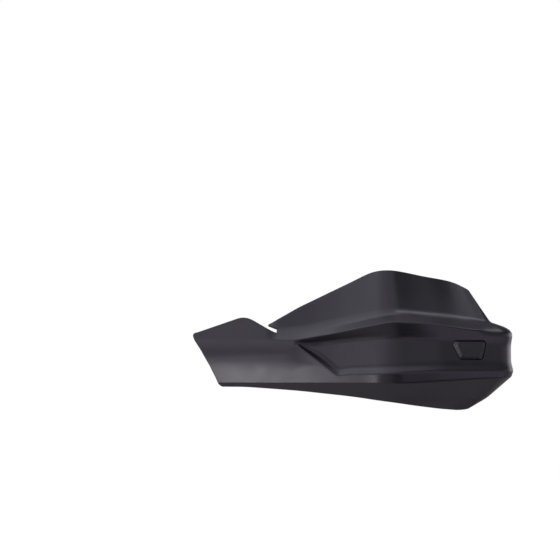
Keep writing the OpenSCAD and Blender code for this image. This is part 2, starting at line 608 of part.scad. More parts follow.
module link_nut() {
    color(steel) along_bar(link_x + strip_t / 2 + 3 + lug_t + 1.6, link_y) difference() {
        cylinder(h = 6.5, r = 7.5, $fn = 6);
        translate([0, 0, -1]) cylinder(h = 9, r = bolt_d / 2 + 0.05);
    }
}

guard_shell();
window_plug();
plug_screw();
plug_screw_washer();
thread_inserts();
rubber_pads();
shell_screws();
shell_screw_washers();
backbone();
bar_end_spacer();
bar_end_washer();
bar_end_bolt();
expander_sleeve();
expander_cone();
bar_clamp_saddle();
bar_clamp_cap();
clamp_screws();
link_spacer();
link_bolt();
link_washer();
link_nut();
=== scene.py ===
# %% [markdown]
# # A left hand guard for a motorcycle handlebar
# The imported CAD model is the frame: every piece here sits in the same place, in metres.
# X points outboard along the handlebar, Y back to the rider and Z up, and the origin is
# the centre of the handlebar's open end. The front of the guard looks along -Y.

# %% Load the frame
import math
import bmesh
import bpy
import numpy as np
from mathutils import Matrix, Vector


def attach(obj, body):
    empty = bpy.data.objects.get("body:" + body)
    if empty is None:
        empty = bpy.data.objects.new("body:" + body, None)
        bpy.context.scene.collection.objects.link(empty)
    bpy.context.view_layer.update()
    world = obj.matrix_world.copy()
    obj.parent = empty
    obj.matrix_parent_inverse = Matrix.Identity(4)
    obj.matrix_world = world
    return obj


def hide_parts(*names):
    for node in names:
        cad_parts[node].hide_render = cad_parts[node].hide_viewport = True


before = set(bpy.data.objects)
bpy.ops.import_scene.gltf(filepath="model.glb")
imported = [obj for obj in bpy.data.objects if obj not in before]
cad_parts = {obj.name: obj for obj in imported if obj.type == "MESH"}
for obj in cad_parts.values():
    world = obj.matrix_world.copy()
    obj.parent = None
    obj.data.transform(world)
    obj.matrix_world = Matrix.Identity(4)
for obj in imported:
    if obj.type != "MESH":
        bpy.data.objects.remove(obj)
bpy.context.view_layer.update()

# %% [markdown]
# The photograph looks straight at the front through a long lens, so lines that run back
# hardly converge. A far camera with a long lens does the same. The frame is 526 mm wide at
# the guard's face, and the guard sits low and to the right in it.

# %% Camera
MM = 0.001
FRAME_WIDE = 526.4 * MM
FACE_Y = -60 * MM
FAR = 12.0

def add_camera():
    """A long lens level with the picture's middle, looking along +Y."""
    lens = bpy.data.cameras.new("long_lens")
    lens.lens = lens.sensor_width * FAR / FRAME_WIDE
    lens.clip_start = 0.1
    lens.clip_end = 60
    camera = bpy.data.objects.new("long_lens", lens)
    camera.location = (-178.6 * MM, FACE_Y - FAR, 65.8 * MM)
    camera.rotation_euler = (math.pi / 2, 0, 0)
    bpy.context.collection.objects.link(camera)
    bpy.context.scene.camera = camera
    return camera

camera = add_camera()
print("lens, mm:", round(camera.data.lens))

# %% [markdown]
# A product like this is photographed in a white studio, and black plastic takes its form
# from what it mirrors, so the room matters more than the lamps. A world that is white to
# the camera, and brighter behind the guard than before it, stands in for the room.

# %% Node helpers
def new_material(name):
    """An empty node material, and its tree."""
    material = bpy.data.materials.new(name)
    material.use_nodes = True
    material.node_tree.nodes.clear()
    return material, material.node_tree

def add(tree, kind, **inputs):
    """Adds a node and sets its properties or inputs by name."""
    node = tree.nodes.new(kind)
    for name, value in inputs.items():
        label = name.replace("_", " ")
        if hasattr(node, name) and label not in node.inputs:
            setattr(node, name, value)
        else:
            node.inputs[label].default_value = value
    return node

def link(tree, source, target):
    tree.links.new(source, target)

# %% [markdown]
# The part stands over a white floor in a plain white room, as in the photograph.

# %% The room
def add_world():
    """White to the camera; to the guard, a pale table and backdrop and a darker room above."""
    world = bpy.data.worlds.new("studio")
    world.use_nodes = True
    tree = world.node_tree
    tree.nodes.clear()
    way = add(tree, "ShaderNodeTexCoord").outputs["Generated"]
    parts = add(tree, "ShaderNodeSeparateXYZ")
    link(tree, way, parts.inputs[0])

    def graded(axis, stops):
        """A smooth brightness read against one axis of the direction."""
        place = add(tree, "ShaderNodeMapRange", From_Min=-1.0, From_Max=1.0)
        link(tree, parts.outputs[axis], place.inputs["Value"])
        shades = add(tree, "ShaderNodeValToRGB")
        shades.color_ramp.interpolation = "EASE"
        for k, (position, level) in enumerate(stops):
            stop = shades.color_ramp.elements[k] if k < 2 else shades.color_ramp.elements.new(1)
            stop.position, stop.color = (position + 1) / 2, (level, 0.98 * level, 1.06 * level, 1)
        link(tree, place.outputs[0], shades.inputs[0])
        return shades.outputs[0]

    turn = graded("Y", [(-0.45, 0.0), (0.45, 1.0)])
    room = add(tree, "ShaderNodeMix", data_type="RGBA")
    link(tree, turn, room.inputs[0])
    link(tree, graded("Z", FRONT), room.inputs[6])
    link(tree, graded("Z", BACK), room.inputs[7])
    lit = add(tree, "ShaderNodeMix", data_type="RGBA", blend_type="MULTIPLY")
    lit.inputs[0].default_value = 1.0
    link(tree, room.outputs[2], lit.inputs[6])
    link(tree, graded("X", SIDE), lit.inputs[7])
    path = add(tree, "ShaderNodeLightPath")
    level = add(tree, "ShaderNodeMix", data_type="RGBA")
    link(tree, path.outputs["Is Camera Ray"], level.inputs[0])
    link(tree, lit.outputs[2], level.inputs[6])
    level.inputs[7].default_value = (1, 1, 1, 1)
    back = add(tree, "ShaderNodeBackground", Strength=1.0)
    link(tree, level.outputs[2], back.inputs["Color"])
    link(tree, back.outputs[0], add(tree, "ShaderNodeOutputWorld").inputs["Surface"])
    bpy.context.scene.world = world

# Brightness against the direction's height in front and behind, and against its side
FRONT = [(-0.6, 0.5), (-0.25, 0.5), (0.02, 1.35), (0.2, 0.5), (0.52, 0.4), (0.66, 1.15), (0.95, 1.1)]
BACK = [(-0.5, 0.6), (0.0, 1.8), (0.22, 0.8), (0.38, 0.15), (0.75, 0.15), (0.92, 1.1)]
SIDE = [(-1.0, 1.65), (-0.45, 1.65), (-0.1, 1.15), (0.35, 0.8), (0.6, 0.8), (0.73, 0.1), (0.86, 0.6),
        (1.0, 0.6)]

add_world()
bpy.context.scene.view_settings.view_transform = "Standard"
print("world:", bpy.context.scene.world.name)

# %% [markdown]
# The floor is a plain pale sheet well below the guard, because the guard hangs on its
# handlebar. It is ordinary diffuse paper with a little glow that only the camera sees, so
# that it is as white as the room and still keeps a soft shadow. Mirror-like rays find it
# darker, as a table in the shade. From below it is clear, so the guard shows from there too.

# %% The floor
FLOOR_Z = -0.45

def paper_material():
    material, tree = new_material("pale_floor")
    path = add(tree, "ShaderNodeLightPath")
    lift = add(tree, "ShaderNodeMath", operation="MULTIPLY")
    link(tree, path.outputs["Is Camera Ray"], lift.inputs[0])
    lift.inputs[1].default_value = 0.55
    glow = add(tree, "ShaderNodeEmission", Color=(1, 1, 1, 1))
    link(tree, lift.outputs[0], glow.inputs["Strength"])
    tone = add(tree, "ShaderNodeMix", data_type="RGBA")
    link(tree, path.outputs["Is Glossy Ray"], tone.inputs[0])
    tone.inputs[6].default_value = (0.8, 0.8, 0.8, 1)
    tone.inputs[7].default_value = (0.42, 0.4, 0.385, 1)
    paper = add(tree, "ShaderNodeBsdfDiffuse")
    link(tree, tone.outputs[2], paper.inputs["Color"])
    total = add(tree, "ShaderNodeAddShader")
    link(tree, paper.outputs[0], total.inputs[0])
    link(tree, glow.outputs[0], total.inputs[1])
    seen = add(tree, "ShaderNodeMixShader")
    link(tree, add(tree, "ShaderNodeNewGeometry").outputs["Backfacing"], seen.inputs[0])
    link(tree, total.outputs[0], seen.inputs[1])
    link(tree, add(tree, "ShaderNodeBsdfTransparent").outputs[0], seen.inputs[2])
    link(tree, seen.outputs[0], add(tree, "ShaderNodeOutputMaterial").inputs["Surface"])
    return material

def add_sheet(name, x0, x1, y0, y1, z, material):
    mesh = bpy.data.meshes.new(name)
    mesh.from_pydata([(x0, y0, z), (x1, y0, z), (x1, y1, z), (x0, y1, z)], [], [(0, 1, 2, 3)])
    mesh.materials.append(material)
    sheet = bpy.data.objects.new(name, mesh)
    bpy.context.collection.objects.link(sheet)
    return sheet

add_sheet("floor", -20, 20, -20, 20, FLOOR_Z, paper_material())
print("floor at", FLOOR_Z, "m")

# %% [markdown]
# Photographers steer a reflection with sheets of card outside the picture. A black one, the
# flag, lies low in front of the bend and darkens the faces that tuck under there. Pale ones
# to both sides keep the ends bright, and a grey one lies behind. Only mirror-like rays meet
# them, so they cast no shadow and are never seen.

# %% Cards for the reflections
def hidden_from_view(sheet):
    """Leaves a sheet only to mirror-like rays."""
    sheet.visible_camera = sheet.visible_diffuse = sheet.visible_shadow = sheet.visible_transmission = False

def card_material(name, shade):
    material, tree = new_material(name)
    card = add(tree, "ShaderNodeBsdfDiffuse", Color=(*shade, 1))
    link(tree, card.outputs[0], add(tree, "ShaderNodeOutputMaterial").inputs["Surface"])
    return material

# Name, extent along X and Y, height and shade
CARDS = [
    ("flag", (0.02, 0.335, -0.85, -0.13), -0.36, "black_card", (0.004, 0.004, 0.004)),
    ("side_sheet", (0.35, 1.6, -1.6, -0.2), -0.44, "white_card", (0.88, 0.85, 0.92)),
    ("left_sheet", (-2.6, -0.42, -2.6, -0.6), -0.44, "pale_card", (0.8, 0.78, 0.84)),
    ("back_sheet", (-0.22, 0.14, 0.08, 1.0), -0.44, "grey_card", (0.2, 0.19, 0.19)),
]
for name, extent, z, card, shade in CARDS:
    hidden_from_view(add_sheet(name, *extent, z, card_material(card, shade)))
print("cards:", [row[0] for row in CARDS])

# %% [markdown]
# Large soft boxes give the long gradients of a studio. The largest stands to the left, a
# small one high up on the right and a weak one behind on the right. A bright card low in
# front on the left throws light up at the tail, the brightest place of the guard. Nothing
# shines from beside the camera, so the faces that look straight at it stay dark.

# %% Lamps
AIM = (-0.15, -0.07, 0.0)

def add_softbox(name, place, size, glow, aim=AIM):
    """A square area lamp aimed at the guard; glow is its brightness, and the sheet's is 1."""
    lamp = bpy.data.lights.new(name, "AREA")
    lamp.shape = "SQUARE"
    lamp.size = size
    lamp.energy = glow * math.pi * size * size
    lamp.color = (1, 0.975, 1.04)
    box = bpy.data.objects.new(name, lamp)
    box.location = place
    box.rotation_euler = (Vector(aim) - Vector(place)).to_track_quat("-Z", "Y").to_euler()
    box.visible_camera = False
    bpy.context.collection.objects.link(box)

add_softbox("left_box", (-1.9, -0.5, 0.5), 1.2, 3.0)
add_softbox("top_box", (0.85, 0.0, 1.75), 0.55, 2.8)
add_softbox("front_card", (-0.43, -0.42, -0.31), 0.12, 9.6, (-0.22, -0.07, -0.01))
add_softbox("right_box", (1.6, 1.1, 0.2), 1.0, 1.5)

# %% [markdown]
# The shell is moulded in black plastic with a fine spark-eroded grain. The grain is only a
# few tenths of a millimetre, so it is a bump, not a shape. Up close the gloss also wanders
# a little, where the mould was polished by handling, and the colour is never quite even.

# %% Moulded plastic
def noise(tree, place, scale, detail=2.0, rough=0.5):
    node = add(tree, "ShaderNodeTexNoise", Scale=scale, Detail=detail, Roughness=rough)
    link(tree, place, node.inputs["Vector"])
    return node

def ramp(tree, source, stops):
    """A colour ramp from (position, grey or colour) pairs."""
    node = add(tree, "ShaderNodeValToRGB")
    link(tree, source, node.inputs["Fac"])
    elements = node.color_ramp.elements
    while len(elements) < len(stops):
        elements.new(0.5)
    for element, (position, colour) in zip(elements, stops):
        element.position = position
        element.color = (colour,) * 3 + (1,) if isinstance(colour, float) else tuple(colour) + (1,)
    return node.outputs["Color"]

def finished(tree, surface):
    link(tree, surface.outputs["BSDF"], add(tree, "ShaderNodeOutputMaterial").inputs["Surface"])

DARKER, LIGHTER = (0.0068, 0.0065, 0.0080), (0.0092, 0.0089, 0.0106)

def plastic_material():
    material, tree = new_material("grained_black_plastic")
    place = add(tree, "ShaderNodeTexCoord").outputs["Object"]
    surface = add(tree, "ShaderNodeBsdfPrincipled", IOR=1.5)
    patches = noise(tree, place, 22, 3.0)
    colour = ramp(tree, patches.outputs["Fac"], [(0.3, DARKER), (0.7, LIGHTER)])
    link(tree, colour, surface.inputs["Base Color"])
    handling = noise(tree, place, 60, 4.0)
    gloss = ramp(tree, handling.outputs["Fac"], [(0.3, 0.28), (0.75, 0.34)])
    link(tree, gloss, surface.inputs["Roughness"])
    grain = noise(tree, place, 2600, 2.0, 0.6)
    bump = add(tree, "ShaderNodeBump", Strength=0.06, Distance=0.12 * MM)
    link(tree, grain.outputs["Fac"], bump.inputs["Height"])
    link(tree, bump.outputs["Normal"], surface.inputs["Normal"])
    finished(tree, surface)
    return material

plastic = plastic_material()
print("finish:", plastic.name)

# %% [markdown]
# The guard is drawn as a designer lofts it. In plan its face follows one line: a straight
# inner half, a bend, a straight outer half, a tight wrap and a short leg. A station is the
# distance along that line from the middle of the bend, in millimetres.

# %% The line in plan
REACH, BEND_X, BEND_Y = 41.2, 75.0, 104.0
INNER, OUTER = math.radians(14), math.radians(23)
BEND_R, WRAP_R, END_Y = 45.0, 20.0, 12.0

def along(a):
    return np.array([np.cos(a), np.sin(a)])

def ahead(a):
    return np.array([np.sin(a), -np.cos(a)])

bend_point = np.array([-BEND_X, -BEND_Y])
bend_cut = BEND_R * math.tan((INNER + OUTER) / 2)
half_bend = BEND_R * (INNER + OUTER) / 2
bend_end = bend_point + bend_cut * along(OUTER)
bend_start = bend_point - bend_cut * along(-INNER)
bend_mid = bend_start - BEND_R * ahead(-INNER)
wrap_cut = WRAP_R * math.tan((math.pi / 2 - OUTER) / 2)
wrap_point = bend_point + (REACH + BEND_X) / math.cos(OUTER) * along(OUTER)
wrap_start = wrap_point - wrap_cut * along(OUTER)
wrap_end = wrap_point + np.array([0, wrap_cut])
wrap_mid = wrap_start - WRAP_R * ahead(OUTER)
WRAP_S = half_bend + np.linalg.norm(wrap_start - bend_end)
WRAP_E = WRAP_S + WRAP_R * (math.pi / 2 - OUTER)
END_S = WRAP_E - END_Y - wrap_end[1]
TAIL_S = -186 / math.cos(INNER)

def plan(s):
    """The point on the face line at station s."""
    if s < -half_bend:
        return bend_start + (s + half_bend) * along(-INNER)
    if s < half_bend:
        return bend_mid + BEND_R * ahead(-INNER + (s + half_bend) / (2 * half_bend) * (INNER + OUTER))
    if s < WRAP_S:
        return bend_end + (s - half_bend) * along(OUTER)
    if s < WRAP_E:
        return wrap_mid + WRAP_R * ahead(OUTER + (s - WRAP_S) / WRAP_R)
    return wrap_end + np.array([0, s - WRAP_E])

print("stations run from", round(TAIL_S), "to", round(END_S))

# %% [markdown]
# The section changes along the guard, but always has the same corners: chin, keel, crease,
# lip, floor of the channel, ledge and wing. Each corner follows its own short table of
# station and value. Averaging over a small window rounds the table's bends, as a spline
# would, and it stays easy to correct against the photograph.

# %% Tables of the section
SLIT_S, TIP_S, APEX_S, LIP_S, SLANT_END = -110.0, -118.5, -89.4, -51.5, -130.0
RIM = 0.8

def table(*pairs):
    return np.array(pairs, float)

facing = table([-40, -14], [35, 23], [70, 27], [100, 43], [112, 50], [124, 61.5], [WRAP_E, 79.5],
               [WRAP_E + 13, 90])
top_z = table([TIP_S, 24.3], [-91, 40.6], [-68, 52.2], [-48, 62.3], [-30, 70.4], [-22, 72.9], [-11, 74.9],
              [1, 75.4], [11, 75.1], [32, 72.8], [57, 68.5], [77, 66.2], [92, 64.5], [104, 61.5],
              [112, 59.8], [120, 57.2], [WRAP_E, 54.2], [END_S, 38.2])
tail_z = table([TAIL_S, 15.1], [TAIL_S + 51, 32.2], [SLIT_S, 15.4])
tail_end = table([-34.9, 24.6], [-28, 22.3], [-14, 16.1], [0, 8.5], [9.4, 2.3], [15.1, -0.5])
tail_d = table([TAIL_S, 0.4], [TAIL_S + 51, 1.9], [TIP_S, 1], [SLIT_S, 3.5])
root_z = table([SLIT_S, 18.6], [-98, 18], [-80, 19.8], [-52, 25.4], [-30, 29.9], [0, 34.6], [18, 34.8],
               [41, 32.5], [64, 30.6], [81, 28.9], [100, 28.5], [WRAP_S, 27.1], [WRAP_E, 26.1],
               [END_S, 25.6])
root_d = table([SLIT_S, 4.5], [APEX_S, 7], [-52, 13], [0, 19], [50, 20], [WRAP_E, 22.5])
wing_lean = table([SLIT_S, 15], [-52, 20], [0, 22], [61, 26], [WRAP_S, 35.5], [END_S, 36.5])
ledge_z = table([TAIL_S, 10], [SLIT_S, 9.8], [APEX_S, 9.6], [-73, 12.7], [-58, 15], [-29, 20.9],
                [0, 26.4], [20, 26.2], [31, 25.5], [48, 24], [64, 21.8], [81, 19.7], [100, 18.3],
                [WRAP_S, 19], [WRAP_E, 19.3], [END_S, 18.2])
floor_hi = table([TAIL_S, 5], [-100, 6.2], [APEX_S, 7.9], [-78, 5.6], [-68, 7], [-52, 8.8], [-30, 11],
                 [0, 12.2], [10, 11.8], [51, 9], [92, 6.6], [WRAP_E, 4.4])
floor_hi_d = table([TAIL_S, 0], [-91, 0], [-88, 2.6], [-84, 4.6], [-78, 6], [-68, 7.6], [-39, 9.3],
                   [-10, 10.5], [20, 7], [50, 3.4], [WRAP_E, 2.4])
floor_lo = table([TAIL_S, 0], [-100, 2.4], [APEX_S, 6.3], [-84, 2.2], [-78, -0.4], [-68, -5.5],
                 [-58.4, -12.6], [LIP_S, -18], [-39, -16.5], [0, -15.5], [51, -12.5], [WRAP_E, -11.5])
floor_lo_d = table([TAIL_S, 0], [-91, 0], [-88, 2.6], [-84, 4.4], [-78, 5.8], [-68, 7.3], [-58.4, 8.3],
                   [-20, 8.5], [20, 5], [50, 2.6], [WRAP_E, 2.2])
lip_z = table([TAIL_S, -6], [-100, -2.4], [APEX_S, 4.7], [LIP_S, -24], [-39, -22.6], [-10, -22.1],
              [10, -21.2], [25, -20.2], [51, -19.7], [WRAP_S, -19.7], [END_S, -19.2])
outer_share = table([-20, 0], [50, 1])
crease_z = table([22, -31], [51, -29.6], [92, -27.3], [WRAP_E, -25], [END_S, -24])
bottom_z = table([TAIL_S, -34.9], [-155, -35], [-130, -35.8], [-91, -38.7], [-44, -43.8], [-13, -47.5],
                 [12, -50], [70, -55.7], [108, -57.3], [WRAP_E, -54.5], [END_S, -48.3])
keel_z = table([TAIL_S, 1.2], [12, 2.5], [70, 8.3], [101, 11.8], [WRAP_E, 9.5], [END_S, 8])

def soft(t, s, w):
    """Reads a table at s, averaged over a window of w to either side."""
    return float(np.mean(np.interp(s + w * np.linspace(-1, 1, 15), t[:, 0], t[:, 1])))

print("wing's highest point, mm:", round(max(soft(top_z, s, 9) for s in range(-30, 30)), 1))

# %% [markdown]
# From the tables come the corners of one section, as distance forward and height. Slopes
# that the eye reads as flat facets are kept as true slopes: the face under the lip tucks
# in by 18 degrees and the chin by 50.

# %% Corners of a section
LEAN, TUCK, CHIN, KEEL = 5, 18, 50, 61
ROLL, ROLL_Z, ROLL_D = 12.0, -3.8, -0.2

def slope(degrees):
    return math.tan(math.radians(degrees))

def base_d(z):
    """The plain inner half: it leans back above, rolls over softly and tucks under."""
    u = z - ROLL_Z
    r = math.sqrt(u * u + ROLL * ROLL) - ROLL
    return ROLL_D - ((r + u) * slope(LEAN) + (r - u) * slope(TUCK)) / 2

def lesser(a, b, w):
    return (a + b - math.sqrt((a - b) ** 2 + w * w)) / 2

def rounding(t, c):
    u = c - max(0.0, min(c, t))
    return c - math.sqrt(c * c - u * u)

def mix(a, b, m):
    return a + (b - a) * m

def low_corners(s):
    """From the bottom edge up to the ledge."""
    z6, z3, z2 = soft(ledge_z, s, 7), soft(lip_z, s, 2), soft(crease_z, s, 8)
    z0 = soft(bottom_z, s, 9)
    z1 = min(z0 + soft(keel_z, s, 8), z2 - 1)
    zr = lesser(-14, z3 - 3, 3)
    m, n = soft(outer_share, s, 8), float(np.interp(s, [-96, -80], [0, 1]))
    z4, z5 = soft(floor_lo, s, 2.5), soft(floor_hi, s, 3)
    d3 = mix(base_d(z3), 0, m)
    dr = mix(base_d(zr), -slope(TUCK) * (z3 - zr), m)
    d2 = mix(base_d(z2), -slope(TUCK) * (z3 - z2), m)
    d1 = d2 - slope(CHIN) * (z2 - z1)
    d0 = d1 - slope(mix(CHIN, KEEL, m)) * (z1 - z0)
    return [(d0, z0), (d1, z1), (d2, z2), (dr, zr), (d3, z3),
            (mix(base_d(z4), 0, n) - soft(floor_lo_d, s, 2.5), z4),
            (mix(base_d(z5), 0, n) - soft(floor_hi_d, s, 3), z5), (mix(base_d(z6), 0, n), z6)]

def tail_edge(s):
    return soft(tail_z, s, 7) - rounding(s - TAIL_S, 3)

def wing_top(s, root):
    z = soft(top_z, s, 9 if s > -60 else 3)
    return (root[0] - slope(soft(wing_lean, s, 5)) * (z - root[1]), z)

def corners(s):
    p = low_corners(s)
    if s < SLIT_S:
        p.append((-soft(tail_d, s, 2), tail_edge(s)))
    else:
        root = (-soft(root_d, s, 5), soft(root_z, s, 8))
        p += [root, wing_top(s, root)]
    p = [np.array(v, float) for v in p]
    p[0] = p[0] + RIM * unit(p[1] - p[0])
    p[-1] = p[-1] - RIM * unit(p[-1] - p[-2])
    return p

def unit(v):
    return v / np.linalg.norm(v)

print("corners at the bend:", [tuple(np.round(p, 1)) for p in corners(0)])

# %% [markdown]
# Every corner but the ends is blended with a short curve, and the inner face is the same
# polygon moved back by the wall, so the wall stays even round every corner. All sections
# have the same number of points, which lets neighbours be joined into a grid of quads.

# %% Blended sections
WALL = 3.0
STEPS = [0, 4, 6, 6, 5, 8, 7, 6, 12, 0]
UNDER_ROLL, LEDGE, FOOT = 3, 7, 8

def blends(s):
    m, n = soft(outer_share, s, 8), float(np.interp(s, [-96, -78], [0, 1]))
    edge = float(np.interp(s, [-20, 50, 90, WRAP_S], [1, 1.1, 2.2, 14]))
    root = float(np.interp(s, [75, WRAP_S], [6, 2.5]))
    lip = mix(float(np.interp(s, [-104, -94], [3, 1])), 2.2, m)
    return [0, 4, mix(0.8, 2, m), mix(8, 1, n), lip, 4.5, 3, edge, root, 0]

def normal_of(a, b):
    u = unit(b - a)
    return np.array([u[1], -u[0]])

def moved_back(p, t):
    """The section moved back by the wall, with blends that keep the wall even."""
    q, r = [], []
    last = len(p) - 1
    for i in range(len(p)):
        n1 = normal_of(p[max(i - 1, 0)], p[max(i, 1)])
        n2 = normal_of(p[min(i, last - 1)], p[min(i + 1, last)])
        q.append(p[i] - WALL * (n1 + n2) / (1 + n1 @ n2))
        if 0 < i < last:
            a, b = unit(p[i] - p[i - 1]), unit(p[i + 1] - p[i])
            bend = math.sqrt(max(0, 1 - a @ b) / (1 + a @ b)) * np.sign(a[0] * b[1] - a[1] * b[0])
            r.append(max(0.3, t[i] - bend * WALL))
        else:
            r.append(0)
    return q, r

def blended(p, t, i):
    back, on = np.linalg.norm(p[i] - p[i - 1]), np.linalg.norm(p[i + 1] - p[i])
    q = min(t[i], 0.45 * back, 0.45 * on)
    before = min(t[i], 0.45 * back) if i == UNDER_ROLL else q
    after = min(t[i], 0.6 * on) if i == LEDGE else q
    a, b = p[i] - before * unit(p[i] - p[i - 1]), p[i] + after * unit(p[i + 1] - p[i])
    f = np.linspace(0, 1, STEPS[i] + 1)[:, None]
    return (1 - f) ** 2 * a + 2 * f * (1 - f) * p[i] + f * f * b

def section_points(p, t):
    """Points from the bottom edge to the top edge, and where the ledge ends in them."""
    rows = [p[0]]
    for i in range(1, len(p) - 1):
        curve = blended(p, t, i)
        rows += [mix(rows[-1], curve[0], f) for f in ((0.5,) if i == 1 else (1 / 3, 2 / 3))]
        if i == FOOT:
            low = len(rows) + 1
        rows += list(curve)
    rest = (0.15, 0.35, 0.55, 0.78, 1) if len(p) > FOOT + 1 else (1 / 3, 2 / 3, 1)
    start = rows[-1]
    rows += [mix(start, p[-1], f) for f in rest]
    return rows, (low if len(p) > FOOT + 1 else len(rows))

LOW = section_points(corners(-150), blends(-150))[1]
print("rows to the ledge's end:", LOW, "and at the bend:", section_points(corners(0), blends(0))[1])

# %% [markdown]
# The tail's end is cut on the slant. Its sections lean over near the end to follow the
# cut, so no separate trimming is needed. The wing's tip reaches over the slit as a small
# flap in the wing's own plane.

# %% Placing sections
def sheared(s, z):
    if s > SLANT_END:
        return s
    cut = float(np.interp(z, tail_end[:, 0], tail_end[:, 1]))
    start = TAIL_S + RIM + cut + rounding(z + 34.9 - RIM, 2.6)
    return mix(start, SLANT_END, (s - TAIL_S) / (SLANT_END - TAIL_S))

def place(s, q):
    """A section's point in the guard's frame, in metres."""
    u = sheared(s, q[1])
    c, f = plan(u), ahead(math.radians(soft(facing, u, 12)))
    return np.array([c[0] + q[0] * f[0], c[1] + q[0] * f[1], q[1]]) * MM

def section(s, inner):
    p, t = corners(s), blends(s)
    if inner:
        p, t = moved_back(p, t)
    return [place(s, v) for v in section_points(p, t)[0]]

FLAP_ROW = 8

def flap(s, inner):
    p = corners(SLIT_S)
    start = blended(p, blends(SLIT_S), FOOT)[FLAP_ROW]
    top = np.array(wing_top(s, p[FOOT])) - np.array([0, RIM])
    reach = (s - TIP_S) / (SLIT_S - TIP_S)
    low = mix(np.array([start[0], min(tail_edge(TIP_S) + 2.3 + RIM, top[1] - 0.8)]), start, reach)
    back = WALL * np.array([-math.cos(math.radians(15)), -math.sin(math.radians(15))]) if inner else 0
    n = STEPS[FOOT] + 5 - FLAP_ROW
    return [place(s, mix(low, top, k / n) + back) for k in range(n + 1)]

tail_stations = np.concatenate([
    TAIL_S + np.array([0, 0.3, 0.8, 1.5, 2.3, 3.2]), np.linspace(TAIL_S + 6, SLIT_S - 1.2, 34)])
flap_stations = np.linspace(TIP_S, SLIT_S, 6)[:-1]
wing_stations = np.concatenate([
    np.linspace(SLIT_S, -93, 8)[:-1], np.linspace(-93, -46, 42), np.linspace(-44, -20, 11)[1:],
    np.linspace(-18, 34, 34), np.linspace(36, WRAP_S, 26), np.linspace(WRAP_S + 1, WRAP_E, 26),
    np.linspace(WRAP_E + 2.5, END_S - RIM, 12)])
print("columns:", len(tail_stations), len(flap_stations), len(wing_stations))

# %% [markdown]
# The outer and the inner face are the same grid. Their shared border is then closed with a
# rounded rim: at each border point a half round runs from the outer face to the inner one.
# The border's direction and the wall's direction give the way outwards, so the one rule
# works on straight edges, round corners and in the slit.

# %% The shell's sheet
def sheet_grid():
    """Vertices of both faces, and the quads of one."""
    columns = [*tail_stations, *wing_stations]
    nt, nf = len(tail_stations), len(flap_stations)
    layers = []
    for inner in (False, True):
        layer, starts = [], []
        for s in columns:
            starts.append(len(layer))
            layer += section(s, inner)
        flap_start = len(layer)
        for s in flap_stations:
            layer += flap(s, inner)
        layers.append(layer)
    high = starts[nt + 1] - starts[nt]
    flap_rows = (len(layers[0]) - flap_start) // nf
    flap_low = LOW - 1 + FLAP_ROW

    def body(c, r):
        return starts[c] + r

    def tip(c, r):
        return starts[nt] + flap_low + r if c == nf else flap_start + c * flap_rows + r

    def strip(at, c, rows):
        return [(at(c, r), at(c, r + 1), at(c + 1, r + 1), at(c + 1, r)) for r in range(rows - 1)]

    quads = []
    for c in range(len(columns) - 1):
        quads += strip(body, c, LOW if c < nt else high)
    for c in range(nf):
        quads += strip(tip, c, flap_rows)
    return layers, quads

def border_loop(quads):
    """The grid's border as one ordered ring of vertex numbers."""
    seen = {}
    for q in quads:
        for a, b in zip(q, q[1:] + q[:1]):
            seen[(a, b)] = True
    after = {a: b for a, b in seen if (b, a) not in seen}
    ring = [next(iter(after))]
    while after[ring[-1]] != ring[0]:
        ring.append(after[ring[-1]])
    return ring

ARC_STEPS = 8
ARC_POWER = 0.7

def shell_sheet():
    """Both faces of the wall and the rounded rim between them, as one mesh."""
    layers, quads = sheet_grid()
    outer, inner = (np.array(layer) for layer in layers)
    n = len(outer)
    ring = border_loop(quads)
    points = list(outer) + list(inner)
    faces = list(quads) + [tuple(v + n for v in reversed(q)) for q in quads]
    arcs = []
    size = len(ring)
    for i, v in enumerate(ring):
        a, b = outer[v], inner[v]
        run = outer[ring[(i + 1) % size]] - outer[ring[i - 1]]
        out = unit(np.cross(a - b, run))
        arc = [v]
        for k in range(1, ARC_STEPS):
            t = math.pi * k / ARC_STEPS
            c = math.copysign(abs(math.cos(t)) ** ARC_POWER, math.cos(t))
            arc.append(len(points))
            points.append((a + b) / 2 + (a - b) / 2 * c + out * RIM * MM * math.sin(t) ** ARC_POWER)
        arc.append(v + n)
        arcs.append(arc)
    for i in range(size):
        a, b = arcs[i], arcs[(i + 1) % size]
        faces += [(b[k], a[k], a[k + 1], b[k + 1]) for k in range(ARC_STEPS)]
    mesh = bpy.data.meshes.new("moulded_shell")
    mesh.from_pydata([tuple(p) for p in points], [], faces)
    mesh.validate()
    return mesh

def close_up(mesh, gap=0.02 * MM):
    """Merges doubles and turns every face outwards; returns open edges and volume in cm3."""
    bm = bmesh.new()
    bm.from_mesh(mesh)
    bmesh.ops.remove_doubles(bm, verts=bm.verts, dist=gap)
    bmesh.ops.recalc_face_normals(bm, faces=bm.faces)
    open_edges = sum(1 for e in bm.edges if not e.is_manifold)
    volume = round(bm.calc_volume() * 1e6, 1)
    bm.to_mesh(mesh)
    bm.free()
    return open_edges, volume

sheet_mesh = shell_sheet()
print("sheet: open edges and cm3", close_up(sheet_mesh), "faces", len(sheet_mesh.polygons))

# %% [markdown]
# Behind the face the shell has the parts that hold it: a cup for the screw under the plug,
# and three round bosses with a fin each. They are made as plain solids in the frames of the
# two straight halves and then joined to the sheet with Booleans, which also cut the window.

# %% Frames of the two halves
STRIP_IN, STRIP_OUT, STRIP_T, STRIP_H = 21.0, 17.5, 5.0, 18.0
FIXINGS = [(-INNER, -94, -3, STRIP_IN), (-INNER, -44, -3, STRIP_IN), (OUTER, 34, -1, STRIP_OUT)]
PLUG_X, PLUG_H, PAD_T = 81.3, 17.6, 2.0

def shift(x, y, z):
    return Matrix.Translation((x * MM, y * MM, z * MM))

